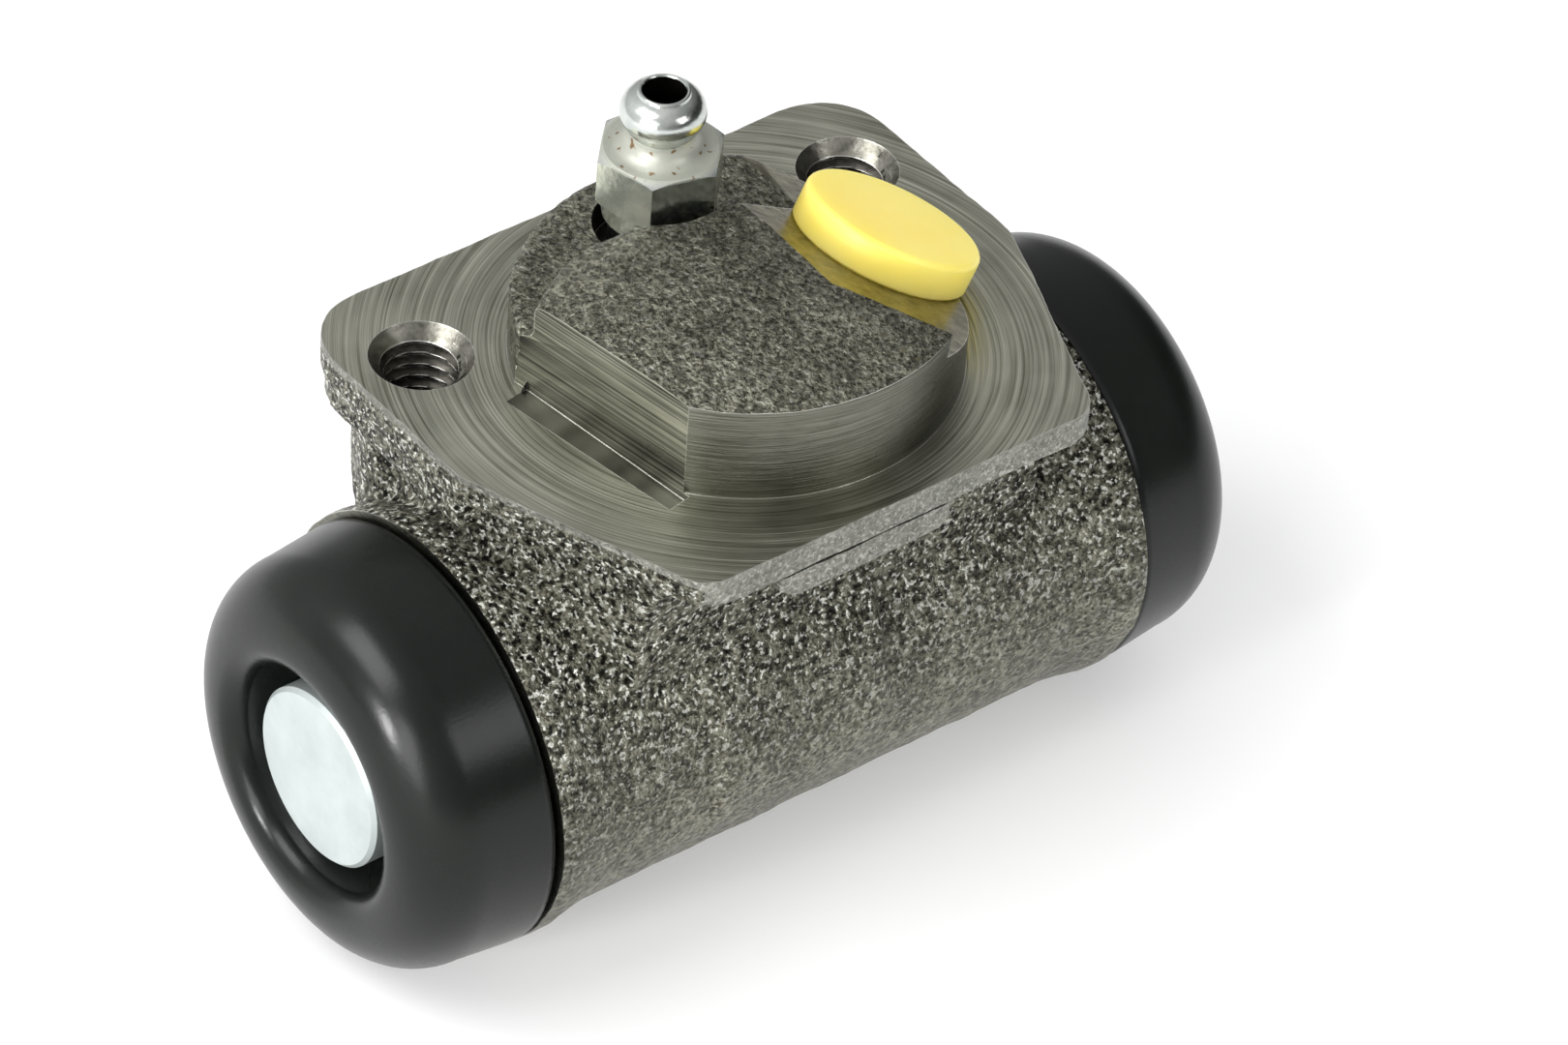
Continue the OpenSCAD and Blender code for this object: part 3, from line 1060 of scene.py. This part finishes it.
        # Painted shade: the recess round the bleed screw gets the near-black slot too.
        recess = np.hypot(x, y - self.bleed_y) < self.recess_r + 0.03
        kind[recess & (z < self.pad_h + 1.0) & (z > -10.0)] = Finish.THREAD.value
        off = np.hypot(y, z + self.bore_drop)
        end_face = (np.abs(x) > self.shoulder_x - 0.02) & (off < self.collar_r + 0.4)
        kind[(off < self.bore_r + 0.05) | end_face] = Finish.TURNED.value
        mesh.polygons.foreach_set("material_index", kind.astype(np.int32))
        mesh.update()

    @staticmethod
    def materials() -> list[bpy.types.Material]:
        """Materials of the casting.

        Returns:
            One for each finish, in its order.
        """
        rim = CastIron("cast_iron_rim", (0.25, 0.253, 0.22), (0.34, 0.34, 0.30), grain=3400.0, relief=0.4)
        finishes = (
            CastIron(),
            Machined(Finish.FACED, (0.175, 0.175, 0.133), (0.61, 0.61, 0.52)),
            Machined(Finish.TURNED, (0.10, 0.10, 0.078), (0.235, 0.235, 0.198), 0.26),
            Machined(Finish.MILLED, (0.03, 0.03, 0.024), (0.32, 0.32, 0.275), 0.30),
            Machined(Finish.SPOT, (0.13, 0.12, 0.075), (0.28, 0.26, 0.18), 0.28),
            Machined(Finish.EDGE, (0.10, 0.097, 0.08), (0.32, 0.31, 0.27), 0.28),
            rim,
            # Near-black painted shade for the holes and the recess.
            Machined(Finish.THREAD, (0.016, 0.015, 0.012), (0.085, 0.08, 0.07), 0.40),
        )
        return [finish.build() for finish in finishes]

    def build(self) -> bpy.types.Object:
        """Makes the casting in place of the CAD body and parents it to the body.

        Returns:
            The finished piece.
        """
        obj = self.blank()
        self.machine(obj)
        dress(obj, *self.materials())
        self.finishes(obj)
        soften(obj, 28.0)
        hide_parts("cylinder_body")
        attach(obj, "body")
        return obj


@dataclass
class DustBoot:
    """Moulded rubber boot that rolls in to the piston nose."""

    side: Side
    material: bpy.types.Material
    bore_drop: float = 21.83
    rim_x: float = 25.2
    rim_r: float = 15.37
    seat_r: float = 12.72
    crest_x: float = 34.99
    roll_r: float = 5.0
    lip_r: float = 6.85
    wall: float = 1.9

    def profile(self) -> Profile:
        """Section of the boot.

        Returns:
            Closed list of (radius, x) points.
        """
        cx, cr = self.crest_x - self.roll_r, self.rim_r - 0.45 - self.roll_r
        rim, start, lip, crest = self.rim_r, self.rim_x, self.lip_r, self.crest_x
        outer = [(rim - 0.12, start), (rim, start + 0.12), (rim - 0.02, start + 0.6)]
        outer += arc(cr, cx, self.roll_r, 0.0, 90.0, 22)
        fold = arc(cr, crest - 1.6, 1.6, 90.0, 178.0, 12)[1:]
        inner = [(lip, crest - 3.2), (lip, crest - 5.2), (lip + 1.4, crest - 5.2), (lip + 1.6, crest - 3.6)]
        back = arc(cr, cx, self.roll_r - self.wall, 90.0, 0.0, 14)
        groove = self.seat_r + 0.5
        foot = [
            (rim - self.wall, start + 3.6), (groove, start + 3.4), (groove, start + 1.6),
            (self.seat_r, start + 1.2), (self.seat_r, start),
        ]
        section = outer + fold + inner + back + foot
        return section + section[:1]

    def build(self) -> bpy.types.Object:
        """Makes the boot in place of the CAD one.

        Returns:
            The finished piece.
        """
        node = self.side.label + "_dust_boot"
        place = along_x(0.0, self.bore_drop, self.side.value)
        obj = mesh_object(node + "_rubber", lathe(self.profile(), 144, place))
        dress(obj, self.material)
        soften(obj, 50.0)
        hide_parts(node)
        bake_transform(obj)
        return obj


@dataclass
class InletPlug:
    """Transit plug with a rounded head."""

    material: bpy.types.Material
    head_r: float = 6.45
    head_t: float = 2.7
    stem_r: float = 4.2
    stem: float = 6.0
    round_r: float = 0.45

    def build(self, place: Matrix) -> bpy.types.Object:
        """Makes the plug on the port axis.

        Args:
            place: the port's placement.

        Returns:
            The finished piece.
        """
        r, t, q = self.head_r, self.head_t, self.round_r
        profile = [(0.0, -self.stem), (self.stem_r - 0.8, -self.stem), (self.stem_r, 0.8 - self.stem)]
        profile += [(self.stem_r, 0.0), (r - 0.15, 0.0), (r, 0.15)]
        profile += arc(r - q, t - q, q, 0.0, 90.0, 8)
        profile += [(r * 0.5, t - 0.04), (0.0, t - 0.05)]
        obj = mesh_object("inlet_plug_cap", lathe(profile, 128, place))
        dress(obj, self.material)
        soften(obj, 40.0)
        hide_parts("inlet_plug")
        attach(obj, "plug")
        return obj


@dataclass
class BleedScrew:
    """Bleed screw with a rounded nipple, a flared neck and a chamfered hexagon."""

    material: bpy.types.Material
    bleed_y: float = 9.3
    top: float = 16.0
    hole_r: float = 1.5
    drill_r: float = 1.0
    ball_r: float = 2.95
    waist_r: float = 2.3
    shank_r: float = 3.3
    collar_r: float = 3.8
    collar_z: float = 5.8
    hex_af: float = 8.0
    hex_low: float = 7.4
    hex_high: float = 11.3
    hex_turn: float = 46.0
    tip: float = -8.9

    def spindle(self) -> Profile:
        """Section of everything that is turned.

        Returns:
            (radius, height) points from the tip to the bottom of the drilling.
        """
        top, waist, tip, low = self.top, self.waist_r, self.tip, self.hex_low
        hole, drill = self.hole_r, self.drill_r
        shank = [
            (0.0, tip), (1.5, tip), (self.shank_r, tip + 1.8), (self.shank_r, self.collar_z),
            (self.collar_r, self.collar_z), (self.collar_r, low + 0.2), (3.0, low + 0.4),
            (3.0, self.hex_high - 0.3),
        ]
        flare = arc(waist + 1.25, self.hex_high + 1.22, 1.25, -90.0, -180.0, 8)
        ball = [(waist, top - 3.25), (waist + 0.15, top - 3.05)]
        ball += arc(1.35, top - 1.75, self.ball_r - 1.35, -42.0, 72.0, 14)
        rim = [(1.78, top - 0.06), (1.68, top), (hole + 0.06, top - 0.02), (hole, top - 0.12)]
        drilling = [(hole, low + 1.6), (drill, low + 1.2), (drill, tip + 2.9), (0.0, tip + 2.9)]
        return shank + flare + ball + rim + drilling

    def build(self) -> bpy.types.Object:
        """Makes the screw in its port.

        Returns:
            The finished piece.
        """
        at = Matrix.Translation((0.0, self.bleed_y, 0.0))
        corner, flat = self.hex_af / math.sqrt(3.0), self.hex_af / 2
        turns = [math.radians(self.hex_turn + 60.0 * k) for k in range(6)]
        low, high = self.hex_low, self.hex_high
        nut = prism([(corner * math.cos(a), corner * math.sin(a)) for a in turns], low, high)
        nut.transform(at)
        obj = mesh_object("bleed_screw_plated", nut)
        cone = [
            (0.0, low), (flat + 0.1, low), (flat + 0.8, low + 0.4),
            (flat + 0.8, high - 0.45), (flat - 0.1, high), (0.0, high),
        ]
        carve(obj, lathe(cone, 96, at), "INTERSECT")
        carve(obj, lathe(self.spindle(), 96, at), "UNION")
        # Painted shade: a near-black second slot for the faces inside the drilled hole.
        dark = Machined(Finish.THREAD, (0.004, 0.0036, 0.003), (0.02, 0.018, 0.015), 0.5).build()
        dark.name = "drilling_painted_shade"
        dress(obj, self.material, dark)
        spots = [vertex.co for vertex in obj.data.vertices]
        for face in obj.data.polygons:
            corners = [spots[k] for k in face.vertices]
            wide = max(math.hypot(p.x, p.y - self.bleed_y * MM) for p in corners)
            face.material_index = int(wide < (self.hole_r + 0.02) * MM and face.center.z > 0.0)
        soften(obj, 24.0)
        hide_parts("bleed_screw")
        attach(obj, "bleed")
        return obj


@dataclass(frozen=True)
class SoftBox:
    """One soft rectangular light; places and sizes in metres."""

    name: str
    at: tuple[float, float, float]
    size: tuple[float, float]
    watts: float
    aim: tuple[float, float, float] = (0.0, 0.0, -0.015)

    def build(self) -> None:
        """Adds the light to the scene."""
        data = bpy.data.lights.new(self.name, "AREA")
        data.shape = "RECTANGLE"
        data.size, data.size_y = self.size
        data.energy = self.watts
        obj = bpy.data.objects.new(self.name, data)
        obj.location = self.at
        obj.rotation_euler = (Vector(self.aim) - Vector(self.at)).to_track_quat("-Z", "Y").to_euler()
        bpy.context.scene.collection.objects.link(obj)


@dataclass(frozen=True)
class Studio:
    """Pale floor, soft lights and the camera at the photograph's place."""

    focal_px: float = 9385.216
    width_px: float = 1620.0
    azimuth: float = -40.135
    elevation: float = 40.835
    roll: float = -4.215
    shift: tuple[float, float, float] = (-3.19, 11.649, -608.595)
    floor_z: float = -37.75
    floor_glow: float = 0.27
    lights: tuple[SoftBox, ...] = (
        SoftBox("key", (-0.46, 0.12, 0.60), (0.50, 0.40), 3.6),
        SoftBox("front_left", (-0.62, -0.30, 0.22), (0.22, 0.40), 1.6),
        SoftBox("left_strip", (-0.66, -0.075, 0.17), (0.05, 0.13), 2.3, (-0.034, -0.008, -0.011)),
        SoftBox("front_fill", (0.22, -0.62, 0.40), (0.30, 0.30), 0.95),
    )

    def rotation(self) -> Matrix:
        """World-to-camera rotation.

        Returns:
            Rows are the camera's right, up and back directions.
        """
        a, e = math.radians(self.azimuth), math.radians(self.elevation)
        back = Vector((math.sin(a) * math.cos(e), -math.cos(a) * math.cos(e), math.sin(e)))
        right = Vector((math.cos(a), math.sin(a), 0.0))
        base = Matrix((right, back.cross(right), back))
        return Matrix.Rotation(math.radians(self.roll), 3, "Z") @ base

    def camera(self) -> bpy.types.Object:
        """Places the camera.

        Returns:
            The camera object.
        """
        rows = self.rotation()
        where = -(rows.transposed() @ Vector(self.shift)) * MM
        data = bpy.data.cameras.new("photo_camera")
        data.sensor_width = 36.0
        data.lens = self.focal_px / self.width_px * 36.0
        data.clip_start = 0.01
        obj = bpy.data.objects.new("photo_camera", data)
        obj.matrix_world = Matrix.Translation(where) @ rows.transposed().to_4x4()
        bpy.context.scene.collection.objects.link(obj)
        bpy.context.scene.camera = obj
        return obj

    def floor(self) -> bpy.types.Object:
        """Makes the pale floor.

        Returns:
            The floor object.
        """
        bm = bmesh.new()
        bmesh.ops.create_grid(bm, x_segments=1, y_segments=1, size=1500.0)
        bm.transform(Matrix.Translation((0.0, 0.0, self.floor_z)))
        obj = mesh_object("floor", bm)
        n = Nodes("floor_white")
        paper = n.ramp(n.noise(3.0), [(0.0, (0.90, 0.90, 0.90)), (1.0, (0.92, 0.92, 0.92))])
        n.set(Base_Color=paper, Roughness=0.9, Specular_IOR_Level=0.1)
        path = n.add("ShaderNodeLightPath").outputs
        mirrored = n.math("MAXIMUM", path["Is Glossy Ray"], path["Is Transmission Ray"])
        seen = n.math("MAXIMUM", path["Is Camera Ray"], mirrored)
        mix = n.add("ShaderNodeMixShader")
        n.wire(n.math("MULTIPLY", seen, self.floor_glow), mix.inputs[0])
        n.wire(n.shader.outputs[0], mix.inputs[1])
        n.wire(n.add("ShaderNodeEmission").outputs[0], mix.inputs[2])
        n.wire(mix.outputs[0], n.tree.nodes["Material Output"].inputs["Surface"])
        dress(obj, n.material)
        return obj

    @staticmethod
    def sky(tree: bpy.types.NodeTree) -> None:
        """Makes a white studio that darkens towards the right of the camera.

        Args:
            tree: node tree of the world.
        """
        where = tree.nodes.new("ShaderNodeTexCoord")
        side = tree.nodes.new("ShaderNodeVectorMath")
        side.operation = "DOT_PRODUCT"
        side.inputs[1].default_value = (-0.62, 0.35, 0.55)
        ramp = tree.nodes.new("ShaderNodeValToRGB")
        stops = ramp.color_ramp.elements
        stops[0].position, stops[0].color = 0.0, (0.03, 0.033, 0.03, 1.0)
        stops[1].position, stops[1].color = 1.0, (1.0, 1.0, 1.0, 1.0)
        lift = tree.nodes.new("ShaderNodeMath")
        lift.operation = "MULTIPLY_ADD"
        lift.inputs[1].default_value, lift.inputs[2].default_value = 0.72, 0.30
        back = tree.nodes["Background"]
        back.inputs["Strength"].default_value = 1.0
        tree.links.new(where.outputs["Generated"], side.inputs[0])
        tree.links.new(side.outputs["Value"], lift.inputs[0])
        tree.links.new(lift.outputs[0], ramp.inputs["Fac"])
        path = tree.nodes.new("ShaderNodeLightPath")
        pick = tree.nodes.new("ShaderNodeMix")
        pick.data_type = "RGBA"
        pick.inputs[6].default_value = (0.80, 0.80, 0.80, 1.0)
        tree.links.new(path.outputs["Is Glossy Ray"], pick.inputs["Factor"])
        tree.links.new(ramp.outputs["Color"], pick.inputs[7])
        seen = tree.nodes.new("ShaderNodeMix")
        seen.data_type = "RGBA"
        seen.inputs[7].default_value = (1.0, 1.0, 1.0, 1.0)
        tree.links.new(path.outputs["Is Camera Ray"], seen.inputs["Factor"])
        tree.links.new(pick.outputs[2], seen.inputs[6])
        tree.links.new(seen.outputs[2], back.inputs["Color"])

    def build(self) -> None:
        """Sets up floor, lights, world and camera."""
        self.camera()
        self.floor()
        world = bpy.data.worlds.new("studio")
        bpy.context.scene.world = world
        world.use_nodes = True
        self.sky(world.node_tree)
        for box in self.lights:
            box.build()
        bpy.context.scene.view_settings.view_transform = "Standard"


def main() -> None:
    """Builds the object and its studio in order."""
    logging.basicConfig(level=logging.INFO, format="%(name)s: %(message)s")
    rubber = Rubber().build()
    bright = Plated("piston_bright", (0.41, 0.455, 0.445), (0.49, 0.54, 0.53), 0.46, 0.5).build()
    steel = Plated("spring_steel", (0.30, 0.30, 0.31), (0.48, 0.48, 0.50), 0.3).build()
    casting = Casting()
    made = [casting.build()]
    made += [DustBoot(side, rubber).build() for side in Side]
    made.append(InletPlug(Plastic().build()).build(casting.on_port()))
    made.append(BleedScrew(ZincPlate().build()).build())
    inner = {
        "left_piston": bright,
        "right_piston": bright,
        "return_spring": steel,
        "left_piston_cup": rubber,
        "right_piston_cup": rubber,
        "left_cup_expander": steel,
        "right_cup_expander": steel,
    }
    for node, material in inner.items():
        soften(dress(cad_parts[node], material), 30.0)
    for obj in made:
        log.info("%s: %d faces", obj.name, len(obj.data.polygons))
    Studio().build()


if __name__ == "__main__":
    main()
